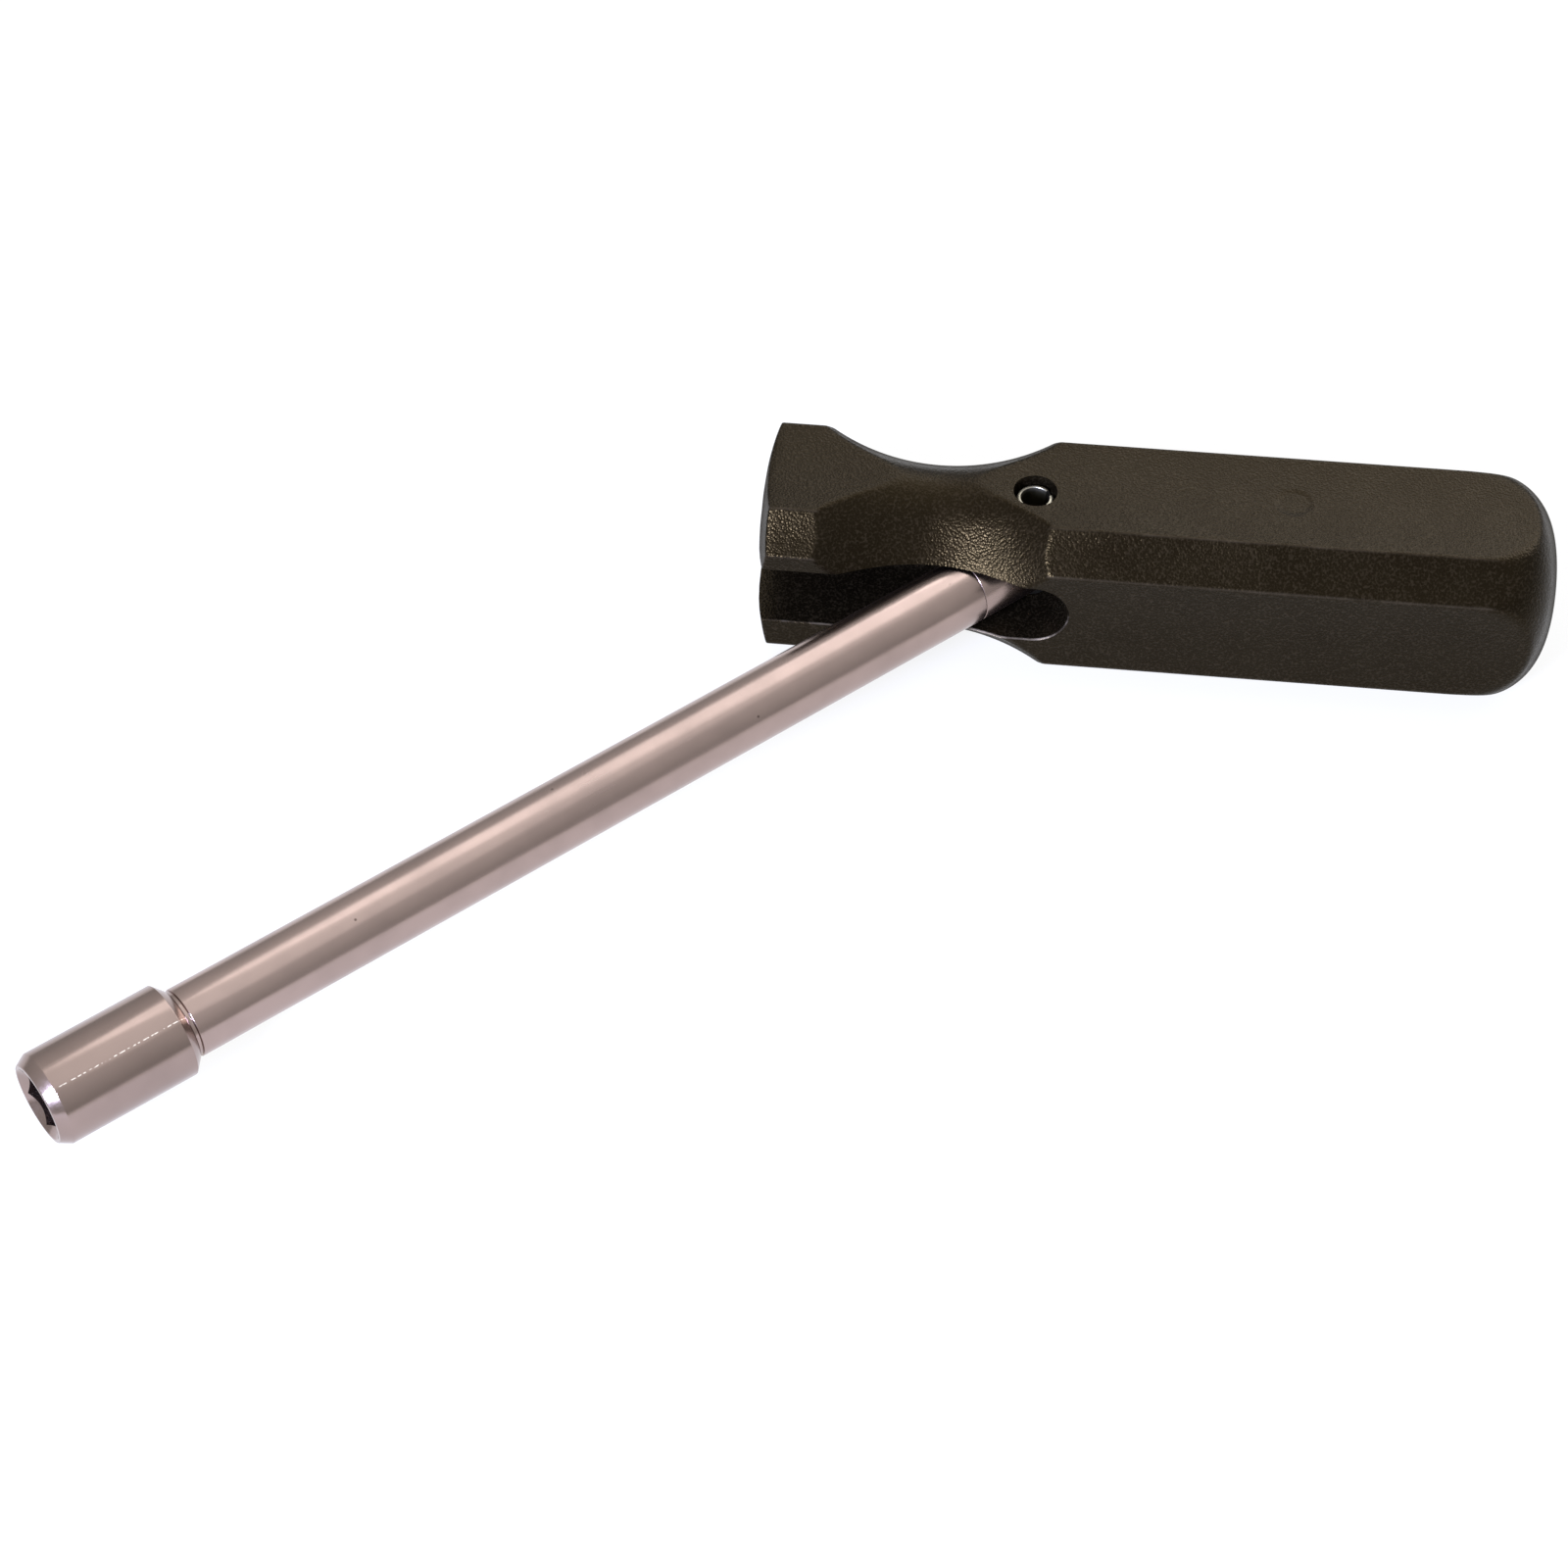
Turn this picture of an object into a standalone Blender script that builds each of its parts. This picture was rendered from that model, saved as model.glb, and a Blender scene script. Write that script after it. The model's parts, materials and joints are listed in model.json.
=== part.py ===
"""Folding T-bar driver: a slotted octagonal handle whose hex socket shank swings out on a cross pin.

Metres, +Z up. The origin lies on the handle's flat underside, in the middle of the grip. The shank points along
-X, and the handle is turned about the pin, so that the shank stands part way between in line and square.
"""
import math

import bmesh
import bpy
from mathutils import Vector

# Shank bar, socket and their fits
BAR_DIAMETER = 0.009525
BAR_END_CHAMFER = 0.0002
SOCKET_LENGTH = 0.0210
SOCKET_NOSE_LENGTH = 0.0015
SOCKET_NOSE_STEP = 0.0009
SOCKET_SHOULDER_LENGTH = 0.0016
SOCKET_RIM = 0.0002
SOCKET_WALL = 0.00173
SOCKET_BACK_WALL = 0.0012
SOCKET_WEB = 0.0017
HEX_FLATS = 0.0080
HEX_DEPTH = 0.0105
HEX_LEAD_IN = 0.0004
REACH = 0.1591

# Tang, the eye on the inner end of the bar
TANG_LENGTH = 0.0118
TANG_SPIGOT_SHARE = 0.63
TANG_SPIGOT_LENGTH = 0.0075

# Slotted spring pin
PIN_DIAMETER = 0.0055563
PIN_RECESS = 0.0015
PIN_WALL = 0.0008
PIN_SPLIT = 0.0010
PIN_SPLIT_ANGLE = math.radians(28)
PIN_END_TAPER = 0.0005
PIN_END_TAPER_LENGTH = 0.0009

# Handle: distances along it are measured from the pin
GRIP_FLATS = 0.0270
GRIP_CORNER_LEG = 0.0048
FLANGE_LENGTH = 0.0058
FLANGE_CROWN = 0.0019
WAIST_CENTRE = 0.0136
WAIST_DEPTH = 0.0048
WAIST_SQUARENESS = 0.0015
WAIST_ARC_RADIUS = 0.0310
BUTT_END = 0.0734
BUTT_ROUND_LENGTH = 0.0148
BUTT_ROUND_POWER = 2.8
PIN_OFFSET = 0.0013
SLOT_RISE = 0.0008
SLOT_ROUND_CENTRE = 0.0008
REST_POINT = 0.0320

# Fits
SLOT_CLEARANCE = 0.00025
SEAT_GAP = 0.0003
EYE_CLEARANCE = 0.0001
TURNING_MARGIN = 0.0003

# Angle between the shank and the handle, zero in line and a right angle as a T-bar
FOLD_ANGLE = math.radians(43)

# Fineness of round surfaces, and how far cutters run past what they cut
ROUND_SEGMENTS = 48
SMALL_ROUND_SEGMENTS = 32
ARC_STEPS = 20
DOME_STEPS = 12
OVERRUN = 0.002

# Sizes that follow from the ones above
BAR_RADIUS = BAR_DIAMETER / 2
BAR_SEAT_DEPTH = SOCKET_LENGTH - HEX_DEPTH - SOCKET_WEB - SEAT_GAP
SPIGOT_RADIUS = BAR_RADIUS * TANG_SPIGOT_SHARE
HEX_CORNER = HEX_FLATS / math.sqrt(3)
SOCKET_RADIUS = max(HEX_CORNER + SOCKET_WALL, BAR_RADIUS + SEAT_GAP + SOCKET_BACK_WALL)
SLOT_HALF_WIDTH = BAR_RADIUS + SLOT_CLEARANCE
HALF_FLATS = GRIP_FLATS / 2
SHANK_HEIGHT = HALF_FLATS + SLOT_RISE
PIN_LENGTH = GRIP_FLATS - 2 * PIN_RECESS
CORNER_RADIUS = math.hypot(HALF_FLATS, HALF_FLATS - GRIP_CORNER_LEG)
TURNED_RADIUS = CORNER_RADIUS + TURNING_MARGIN
WAIST_RADIUS = CORNER_RADIUS - WAIST_DEPTH
WAIST_HALF_ANGLE = math.acos(1 - (TURNED_RADIUS - WAIST_RADIUS) / WAIST_ARC_RADIUS)
FLANGE_FRONT = WAIST_CENTRE + WAIST_ARC_RADIUS * math.sin(WAIST_HALF_ANGLE) + FLANGE_LENGTH
PIVOT = Vector((
    -REST_POINT * math.cos(FOLD_ANGLE) - PIN_OFFSET * math.sin(FOLD_ANGLE),
    REST_POINT * math.sin(FOLD_ANGLE) - PIN_OFFSET * math.cos(FOLD_ANGLE),
    SHANK_HEIGHT,
))


def clear_scene():
    """Removes whatever the open file holds."""
    for thing in list(bpy.data.objects):
        bpy.data.objects.remove(thing, do_unlink=True)


def make_material(name, colour, roughness, metallic):
    """A Principled material with one colour."""
    material = bpy.data.materials.new(name)
    material.use_nodes = True
    shader = material.node_tree.nodes["Principled BSDF"]
    shader.inputs["Base Color"].default_value = (*colour, 1.0)
    shader.inputs["Roughness"].default_value = roughness
    shader.inputs["Metallic"].default_value = metallic
    material.diffuse_color = (*colour, 1.0)
    return material


def make_empty(name, location, turn=0.0):
    """An empty that carries pieces, turned about Z."""
    empty = bpy.data.objects.new(name, None)
    empty.location = location
    empty.rotation_euler = (0.0, 0.0, turn)
    bpy.context.collection.objects.link(empty)
    return empty


def make_object(name, shape, parent, material=None):
    """Turns a bmesh into an object with outward faces, shaded smooth up to 30 degrees."""
    bmesh.ops.recalc_face_normals(shape, faces=shape.faces)
    mesh = bpy.data.meshes.new(name)
    shape.to_mesh(mesh)
    shape.free()
    mesh.shade_smooth()
    mesh.set_sharp_from_angle(angle=math.radians(30))
    if material:
        mesh.materials.append(material)
    thing = bpy.data.objects.new(name, mesh)
    thing.parent = parent
    bpy.context.collection.objects.link(thing)
    return thing


def make_cutter(name, shape, parent):
    """A hidden helper that only shapes another object."""
    cutter = make_object(name, shape, parent)
    cutter.hide_render = True
    cutter.display_type = 'WIRE'
    return cutter


def combine(target, cutter, operation):
    """Adds an exact Boolean to a piece."""
    step = target.modifiers.new(cutter.name, 'BOOLEAN')
    step.operation = operation
    step.solver = 'EXACT'
    step.object = cutter


def circle(radius, segments, centre=(0.0, 0.0), lobe=0.0):
    """Points round a circle, with a flat across each axis; a lobe makes it wider along both axes."""
    points = []
    for step in range(segments):
        angle = 2 * math.pi * (step + 0.5) / segments
        reach = radius + lobe * (1 + math.cos(4 * angle)) / 2
        points.append((centre[0] + reach * math.cos(angle), centre[1] + reach * math.sin(angle)))
    return points


def turned(profile, segments=ROUND_SEGMENTS, centre=(0.0, 0.0)):
    """Turns a profile of (x, radius) or (x, radius, lobe) about an axis along X; points on the axis close it."""
    shape = bmesh.new()
    rings = []
    for x, radius, *lobe in profile:
        if radius == 0.0:
            rings.append([shape.verts.new((x, *centre))])
        else:
            rings.append([shape.verts.new((x, y, z)) for y, z in circle(radius, segments, centre, *lobe)])
    for first, second in zip(rings, rings[1:]):
        for step in range(segments):
            after = (step + 1) % segments
            corners = [first[step % len(first)], first[after % len(first)],
                       second[after % len(second)], second[step % len(second)]]
            shape.faces.new(list(dict.fromkeys(corners)))
    return shape


def prism(outline, low, high, place):
    """Extrudes an outline between two levels; place(u, v, level) gives a point of it."""
    shape = bmesh.new()
    ends = [[shape.verts.new(place(u, v, level)) for u, v in outline] for level in (low, high)]
    count = len(outline)
    for step in range(count):
        after = (step + 1) % count
        shape.faces.new((ends[0][step], ends[0][after], ends[1][after], ends[1][step]))
    for end in ends:
        shape.faces.new(end)
    return shape


def upright_cylinder(radius, low, high, segments, centre=(0.0, 0.0)):
    """A cylinder along Z."""
    return prism(circle(radius, segments, centre), low, high, lambda u, v, level: (u, v, level))


def octagon():
    """The grip's section in (y, z): a square with its corners cut off, centred on the handle's axis."""
    short = HALF_FLATS - GRIP_CORNER_LEG
    quarter = [(HALF_FLATS, -short), (HALF_FLATS, short)]
    points = []
    for _ in range(4):
        points.extend(quarter)
        quarter = [(-z, y) for y, z in quarter]
    return [(y + PIN_OFFSET, z) for y, z in points]


def waist_points():
    """The hollow waist as an arc between two points at the outer radius, squarer where it is deeper."""
    points = []
    for step in range(ARC_STEPS + 1):
        angle = WAIST_HALF_ANGLE * (2 * step / ARC_STEPS - 1)
        x = -WAIST_CENTRE + WAIST_ARC_RADIUS * math.sin(angle)
        rise = WAIST_ARC_RADIUS * (1 - math.cos(angle))
        lobe = WAIST_SQUARENESS * (1 - (rise / (TURNED_RADIUS - WAIST_RADIUS)) ** 2)
        points.append((x, WAIST_RADIUS + rise, lobe))
    return points


def crown_points():
    """The slightly crowned front, from the axis to the outer radius."""
    ball = (CORNER_RADIUS ** 2 + FLANGE_CROWN ** 2) / (2 * FLANGE_CROWN)
    apex = -FLANGE_FRONT - FLANGE_CROWN
    points = []
    for step in range(DOME_STEPS // 2 + 1):
        radius = TURNED_RADIUS * step / (DOME_STEPS // 2)
        points.append((apex + ball - math.sqrt(ball ** 2 - radius ** 2), radius))
    return points


def butt_points():
    """The rounded butt, a superellipse from the outer radius to the axis."""
    points = []
    for step in range(DOME_STEPS + 1):
        angle = math.pi / 2 * step / DOME_STEPS
        along = math.sin(angle) ** (2 / BUTT_ROUND_POWER)
        radius = TURNED_RADIUS * math.cos(angle) ** (2 / BUTT_ROUND_POWER) if step < DOME_STEPS else 0.0
        points.append((BUTT_END - BUTT_ROUND_LENGTH * (1 - along), radius))
    return points


def make_handle(frame, material):
    """The moulded handle: an octagonal bar within a turned form, slotted for the shank and bored for the pin."""
    axis_line = (PIN_OFFSET, 0.0)
    front = -FLANGE_FRONT - FLANGE_CROWN - OVERRUN
    back = BUTT_END + OVERRUN
    bar = prism(octagon(), front, back, lambda y, z, x: (x, y, z))
    handle = make_object("handle", bar, frame, material)
    profile = crown_points() + waist_points() + butt_points()
    turned_form = make_cutter("handle_turned_form", turned(profile, centre=axis_line), frame)
    combine(handle, turned_form, 'INTERSECT')

    width = SLOT_HALF_WIDTH
    quarter_turns = [math.pi * (step / ARC_STEPS - 0.5) for step in range(ARC_STEPS + 1)]
    outline = [(front, width), (front, -width)]
    outline += [(SLOT_ROUND_CENTRE + width * math.cos(a), width * math.sin(a)) for a in quarter_turns]
    face = PIN_OFFSET - HALF_FLATS - OVERRUN
    slot = prism(outline, face, SLOT_CLEARANCE, lambda x, z, y: (x, y, z + SLOT_RISE))
    combine(handle, make_cutter("handle_slot", slot, frame), 'DIFFERENCE')
    trough = turned([(front, 0.0), (front, width), (0.0, width), (0.0, 0.0)], centre=(0.0, SLOT_RISE))
    combine(handle, make_cutter("handle_trough", trough, frame), 'DIFFERENCE')
    eye_half_height = BAR_RADIUS + SLOT_CLEARANCE / 2
    eye_room = upright_cylinder(width, SLOT_RISE - eye_half_height, SLOT_RISE + eye_half_height, ROUND_SEGMENTS)
    combine(handle, make_cutter("handle_eye_room", eye_room, frame), 'DIFFERENCE')
    reach = HALF_FLATS + OVERRUN
    bore = upright_cylinder(PIN_DIAMETER / 2 + SEAT_GAP, -reach, reach, SMALL_ROUND_SEGMENTS)
    combine(handle, make_cutter("handle_pin_bore", bore, frame), 'DIFFERENCE')
    return handle


def make_pin(frame, material):
    """The hollow spring pin: a tube split along its length, with tapered ends."""
    half = PIN_LENGTH / 2
    radius = PIN_DIAMETER / 2
    levels = [(-half, radius - PIN_END_TAPER), (-half + PIN_END_TAPER_LENGTH, radius),
              (half - PIN_END_TAPER_LENGTH, radius), (half, radius - PIN_END_TAPER)]
    half_split = math.asin(PIN_SPLIT / 2 / (radius - PIN_WALL))
    sweep = 2 * math.pi - 2 * half_split
    turns = [PIN_SPLIT_ANGLE + half_split + sweep * step / SMALL_ROUND_SEGMENTS
             for step in range(SMALL_ROUND_SEGMENTS + 1)]
    shape = bmesh.new()
    rings = []
    for z, outer in levels:
        ring = [shape.verts.new((outer * math.cos(a), outer * math.sin(a), z)) for a in turns]
        inner = radius - PIN_WALL
        ring += [shape.verts.new((inner * math.cos(a), inner * math.sin(a), z)) for a in reversed(turns)]
        rings.append(ring)
    count = len(rings[0])
    for first, second in zip(rings, rings[1:]):
        for step in range(count):
            after = (step + 1) % count
            shape.faces.new((first[step], first[after], second[after], second[step]))
    for ring in (rings[0], rings[-1]):
        for step in range(SMALL_ROUND_SEGMENTS):
            shape.faces.new((ring[step], ring[step + 1], ring[count - 2 - step], ring[count - 1 - step]))
    return make_object("pivot_pin", shape, frame, material)


def make_tang(pivot, material):
    """The eye piece on the inner end of the bar: round-ended, bored for the pin, with a spigot into the bar."""
    radius = BAR_RADIUS
    spigot = SPIGOT_RADIUS
    spigot_end = -TANG_LENGTH - TANG_SPIGOT_LENGTH
    profile = [
        (spigot_end, 0.0), (spigot_end, spigot - BAR_END_CHAMFER), (spigot_end + BAR_END_CHAMFER, spigot),
        (-TANG_LENGTH, spigot), (-TANG_LENGTH, radius - BAR_END_CHAMFER), (-TANG_LENGTH + BAR_END_CHAMFER, radius),
        (radius + OVERRUN, radius), (radius + OVERRUN, 0.0),
    ]
    tang = make_object("pivot_tang", turned(profile), pivot, material)
    wide = radius + OVERRUN
    half_turns = [math.pi * (step / ARC_STEPS - 0.5) for step in range(ARC_STEPS + 1)]
    outline = [(0.0, wide), (spigot_end - OVERRUN, wide), (spigot_end - OVERRUN, -wide), (0.0, -wide)]
    outline += [(radius * math.cos(a), radius * math.sin(a)) for a in half_turns]
    round_end = make_cutter("tang_round_end", prism(outline, -wide, wide, lambda x, y, z: (x, y, z)), pivot)
    combine(tang, round_end, 'INTERSECT')
    eye = upright_cylinder(PIN_DIAMETER / 2 + EYE_CLEARANCE, -wide, wide, SMALL_ROUND_SEGMENTS)
    combine(tang, make_cutter("tang_eye", eye, pivot), 'DIFFERENCE')
    return tang


def make_bar(pivot, material):
    """The shank's bar, bored for the tang's spigot and seated in the back of the socket."""
    radius = BAR_RADIUS
    inner_end = -TANG_LENGTH - SEAT_GAP
    outer_end = -REACH + SOCKET_LENGTH - BAR_SEAT_DEPTH
    bore = SPIGOT_RADIUS + SEAT_GAP
    bore_end = -TANG_LENGTH - TANG_SPIGOT_LENGTH - SEAT_GAP
    profile = [
        (outer_end, 0.0), (outer_end, radius - BAR_END_CHAMFER), (outer_end + BAR_END_CHAMFER, radius),
        (inner_end - BAR_END_CHAMFER, radius), (inner_end, radius - BAR_END_CHAMFER),
        (inner_end, bore), (bore_end, bore), (bore_end, 0.0),
    ]
    return make_object("shank", turned(profile), pivot, material)


def make_socket(pivot, material):
    """The hex socket: a turned sleeve with a hex mouth in front and a seat for the bar behind."""
    radius = SOCKET_RADIUS
    face = -REACH
    back = face + SOCKET_LENGTH
    seat_radius = BAR_RADIUS + SEAT_GAP
    seat_end = back - BAR_SEAT_DEPTH - SEAT_GAP
    profile = [
        (face, 0.0), (face, radius - SOCKET_NOSE_STEP), (face + SOCKET_NOSE_LENGTH, radius),
        (back - SOCKET_SHOULDER_LENGTH, radius), (back, seat_radius + SOCKET_RIM),
        (back, seat_radius), (seat_end, seat_radius), (seat_end, 0.0),
    ]
    socket = make_object("socket", turned(profile), pivot, material)
    turns = [math.pi / 3 * step for step in range(6)]
    outline = [(HEX_CORNER * math.sin(a), HEX_CORNER * math.cos(a)) for a in turns]
    hexagon = prism(outline, face - OVERRUN, face + HEX_DEPTH, lambda y, z, x: (x, y, z))
    combine(socket, make_cutter("socket_hex", hexagon, pivot), 'DIFFERENCE')
    mouth = HEX_CORNER + HEX_LEAD_IN
    depth = mouth - HEX_FLATS / 2
    cone = [(face - OVERRUN, 0.0), (face - OVERRUN, mouth + OVERRUN), (face + depth, mouth - depth), (face + depth, 0.0)]
    combine(socket, make_cutter("socket_lead_in", turned(cone), pivot), 'DIFFERENCE')
    return socket


def main():
    """Builds the driver with its shank part folded."""
    clear_scene()
    plastic = make_material("black_plastic", (0.022, 0.019, 0.016), 0.55, 0.0)
    steel = make_material("satin_steel", (0.62, 0.55, 0.51), 0.32, 1.0)
    bright_steel = make_material("bright_steel", (0.66, 0.60, 0.56), 0.28, 1.0)
    tang_steel = make_material("tang_steel", (0.58, 0.52, 0.48), 0.35, 1.0)
    pin_steel = make_material("spring_steel", (0.50, 0.48, 0.45), 0.30, 1.0)

    handle_frame = make_empty("handle_frame", (PIVOT.x, PIVOT.y, HALF_FLATS), turn=-FOLD_ANGLE)
    pivot = make_empty("pivot", PIVOT)
    make_handle(handle_frame, plastic)
    make_pin(handle_frame, pin_steel)
    make_tang(pivot, tang_steel)
    make_bar(pivot, steel)
    make_socket(pivot, bright_steel)


main()
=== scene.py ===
"""Looks of a folding T-bar driver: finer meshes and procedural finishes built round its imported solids."""
import json
import math

import bmesh
import bpy
import numpy as np
from mathutils import Matrix, Vector


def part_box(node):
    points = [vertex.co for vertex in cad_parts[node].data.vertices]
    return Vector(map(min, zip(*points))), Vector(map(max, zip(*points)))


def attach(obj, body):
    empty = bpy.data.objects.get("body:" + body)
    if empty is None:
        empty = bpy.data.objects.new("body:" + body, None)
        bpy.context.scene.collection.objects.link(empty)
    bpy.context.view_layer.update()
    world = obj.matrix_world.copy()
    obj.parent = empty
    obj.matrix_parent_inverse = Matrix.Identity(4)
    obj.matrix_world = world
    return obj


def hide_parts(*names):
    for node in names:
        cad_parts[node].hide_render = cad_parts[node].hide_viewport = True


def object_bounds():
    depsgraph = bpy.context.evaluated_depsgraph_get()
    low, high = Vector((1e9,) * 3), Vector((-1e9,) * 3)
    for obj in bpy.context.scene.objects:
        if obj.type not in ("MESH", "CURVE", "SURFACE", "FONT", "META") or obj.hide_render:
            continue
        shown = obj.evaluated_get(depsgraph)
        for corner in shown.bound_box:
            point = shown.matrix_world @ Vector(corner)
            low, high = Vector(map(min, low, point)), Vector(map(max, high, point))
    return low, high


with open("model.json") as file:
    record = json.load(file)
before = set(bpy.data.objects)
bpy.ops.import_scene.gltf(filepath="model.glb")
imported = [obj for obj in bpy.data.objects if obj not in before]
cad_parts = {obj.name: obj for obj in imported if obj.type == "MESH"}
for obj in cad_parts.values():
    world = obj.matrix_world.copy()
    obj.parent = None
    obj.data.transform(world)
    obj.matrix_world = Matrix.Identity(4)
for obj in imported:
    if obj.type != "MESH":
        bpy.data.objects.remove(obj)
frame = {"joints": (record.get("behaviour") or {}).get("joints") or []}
cad_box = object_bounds()

# Places taken from the frame
FOLD = frame["joints"][0]
PIVOT = Vector(FOLD["pos_m"])
FOLD_ANGLE = -math.radians(FOLD["range_deg"][0])
SOCKET_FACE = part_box("socket")[0].x - PIVOT.x
SOCKET_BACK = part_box("socket")[1].x - PIVOT.x
HALF_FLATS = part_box("handle")[1].z / 2
SLOT_RISE = PIVOT.z - HALF_FLATS

# Handle: distances along it are measured from the pin, as in the solids
GRIP_CORNER_LEG = 0.0048
PIN_OFFSET = 0.0013
FLANGE_LENGTH = 0.0058
FLANGE_CROWN = 0.0019
FLANGE_CROWN_POWER = 3.5
FLANGE_EDGE = 0.0004
WAIST_CENTRE = 0.0136
WAIST_DEPTH = 0.0048
WAIST_SQUARENESS = 0.0015
WAIST_ARC_RADIUS = 0.0310
BUTT_END = 0.07335
BUTT_ROUND_LENGTH = 0.0148
BUTT_ROUND_POWER = 2.8
TURNING_MARGIN = 0.0003
EDGE_POWER = 220
WAIST_EDGE_POWER = 220
BUTT_EDGE_POWER = 60
BUTT_EDGE_FADE = 0.08
FACE_SINK = 0.035
SLOT_CLEARANCE = 0.00025
SLOT_ROUND_CENTRE = 0.0008
SLOT_LIP = 0.00035
SLOT_LIP_SWEEP = math.radians(65)
SLOT_LIP_FLARE = 0.0005
# Share of the painted highlight on the slot's lower lip that is kept at its front, on the flange
FRONT_LIP_GLINT = 0.4
BORE_RADIUS = 0.00308
BORE_LIP = 0.00015
OVERRUN = 0.002
WEAR_WIDTH = 0.014
WEAR_DEPTH = 0.988
MARK_ALONG = 0.0358
MARK_RADIUS = 0.0028
MARK_EDGE = 0.0008
MARK_HEIGHT = 2.6

# Shank, tang, socket and pin
BAR_RADIUS = 0.0047625
TANG_LENGTH = 0.0118
TANG_SEAM = 0.00003
SPIGOT_SHARE = 0.63
EDGE_ROUND = 0.00010
EYE_RADIUS = 0.00288
SOCKET_RADIUS = 0.00635
SOCKET_NOSE_LENGTH = 0.0015
SOCKET_NOSE_STEP = 0.0009
SOCKET_SHOULDER_LENGTH = 0.0013
SOCKET_TRIM = 0.0007
SOCKET_BACK_RADIUS = 0.00490
SOCKET_EDGE_ROUND = 0.00012
NECK_GROOVE_LENGTH = 0.0006
NECK_GROOVE_DEPTH = 0.00045
HEX_FLATS = 0.0080
HEX_DEPTH = 0.0105
HEX_LEAD_IN = 0.0004
SCRATCH_TURN = math.radians(59)
SCRATCH_WIDTH = 0.014
PIN_RADIUS = 0.00277815
PIN_WALL = 0.0008
PIN_SPLIT = 0.0010
PIN_SPLIT_ANGLE = math.radians(28)
PIN_RECESS = 0.0015
PIN_END_TAPER = 0.00032
PIN_END_TAPER_LENGTH = 0.0009
PIN_END_OUTER_ROUND = (0.00012, 0.00003)
PIN_END_INNER_ROUND = (0.00010, 0.00003)
PIN_END_ROUND_DEPTHS = (0.00006, 0.00016)

# Fineness of the meshes
ROUND_SEGMENTS = 144
BORE_SEGMENTS = 72
SECTION_STEP = math.radians(1.5)
SECTION_CORNER_STEPS = tuple(math.radians(a) for a in (0.0, 0.5, 1.1, 2.0))
FRONT_RING_SHARES = (0.12, 0.3, 0.5, 0.7, 0.85, 0.95)
FRONT_EDGE_RINGS = 6
FLANGE_RING_SHARES = (0.2, 0.4, 0.6, 0.8)
WAIST_RINGS = 150
GRIP_RINGS = 18
BUTT_RINGS = 64
BUTT_FIRST_RING = 0.02
SLOT_SIDE_POINTS = 60
SLOT_END_POINTS = 34
SLOT_LIP_RINGS = 4
SLOT_FACE_TRIES = 12
TANG_END_POINTS = 49
BAR_RINGS = 14
LEAST_FORWARD = 0.05
HANDLE_SHARP_DEGREES = 40
STEEL_SHARP_DEGREES = 35
SOCKET_SHARP_DEGREES = 20

# Plastic: linear colours, features per metre, heights in metres, ranges as (least, most)
PLASTIC_DARK = (0.0024, 0.0017, 0.0010)
PLASTIC_LIGHT = (0.0038, 0.0028, 0.0016)
PLASTIC_SPECK = (0.0160, 0.0118, 0.0072)
PLASTIC_WORN = (0.042, 0.033, 0.023)
# Painted highlight: pale colour for the glint along the slot's lower lip
PLASTIC_LIP_GLINT = (0.20, 0.165, 0.13)
PLASTIC_TINT = (1.0, 0.70, 0.32, 1.0)
PLASTIC_IOR = 1.18
PLASTIC_SPECULAR_LEVEL = 0.86
GRIT_SCALE = 3000.0
GRAIN_SCALE = 2100
MOTTLE_SCALE = 160
CLOUD_SCALE = 120
SPECK_SHARE = (0.0, 0.6)
WEAR_SHARE = (0.15, 0.6)
LIP_GLINT_SHARE = (0.1, 1.0)
GRAIN_ROUGHNESS = (0.17, 0.28)
CLOUD_ROUGHNESS = (-0.04, 0.05)
LOW_ANGLE = (0.70, 0.95)
LOW_ANGLE_DULLING = (0.0, 0.45)
GRAIN_STRENGTH = 0.7
GRAIN_HEIGHT = 0.000057

# Steel: linear colours, features per metre, heights in metres
NICKEL = (0.40, 0.305, 0.275)
BRIGHT_NICKEL = (0.355, 0.270, 0.243)
PIN_STEEL = (0.40, 0.37, 0.30)
STEEL_SPECK = (0.10, 0.07, 0.06)
SCRATCH_COLOUR = (0.95, 0.88, 0.84)
# Painted shade: dark olive for the inside of the pin's bore
BORE_SHADE_COLOUR = (0.16, 0.14, 0.09)
SMEAR_DARKENING = 0.86
PIN_ROUGHNESS = 0.38
TANG_ROUGHNESS = 0.24
BAR_ROUGHNESS = 0.22
SOCKET_ROUGHNESS = 0.18
BAR_SPECKS = 0.8
SOCKET_SPECKS = 0.3
TURNING_SCALE = 700
TURNING_STRETCH = (9.0, 0.5, 0.5)
DRAWING_SCALE = 900
DRAWING_STRETCH = (0.12, 3.0, 3.0)
SMEAR_SCALE = 90
STEEL_SPECK_SCALE = 260.0
SCRATCH_DOT_SCALE = 2600
TURNING_STRENGTH = 0.08
TURNING_HEIGHT = 0.00005

# Camera, fitted to the outline in the photograph
CAMERA_PLACE = (-0.2588, -0.2315, 0.3553)
CAMERA_TURN = (0.7205, 0.0, -0.6470)
CAMERA_LENS = 78.1

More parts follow.
